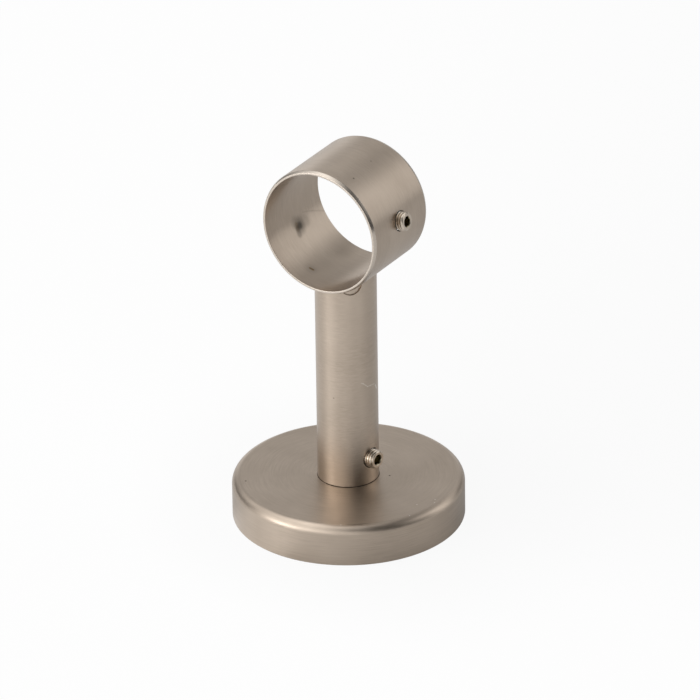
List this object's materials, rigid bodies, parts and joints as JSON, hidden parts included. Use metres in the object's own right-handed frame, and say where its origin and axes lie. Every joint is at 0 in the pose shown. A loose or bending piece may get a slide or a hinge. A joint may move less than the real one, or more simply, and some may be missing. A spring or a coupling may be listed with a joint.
{
  "type": "ceiling bracket",
  "caption": "Ceiling bracket for a curtain pole: a round rose over a fixing plate, a tubular stem and a ring that the pole passes through, held by grub screws.",
  "frame": {"origin": "centre of the rose's open face, on the ceiling", "axes": "+Z from the ceiling to the ring, Y along the pole, +X towards both grub screws"},
  "size_m": [0.0604, 0.0604, 0.1025],
  "materials": {
    "satin_nickel": "satin nickel plate over brushed steel",
    "plain_steel": "zinc plated",
    "nickel_screw": "bright nickel plate"
  },
  "bodies": {
    "root": {"rose_cover": "satin_nickel", "mounting_plate": "plain_steel", "spigot": "plain_steel", "spigot_screw": "plain_steel", "stem_tube": "satin_nickel", "stem_grub_screw": "nickel_screw", "pole_ring": "satin_nickel", "ring_grub_screw": "nickel_screw"}
  },
  "joints": []
}
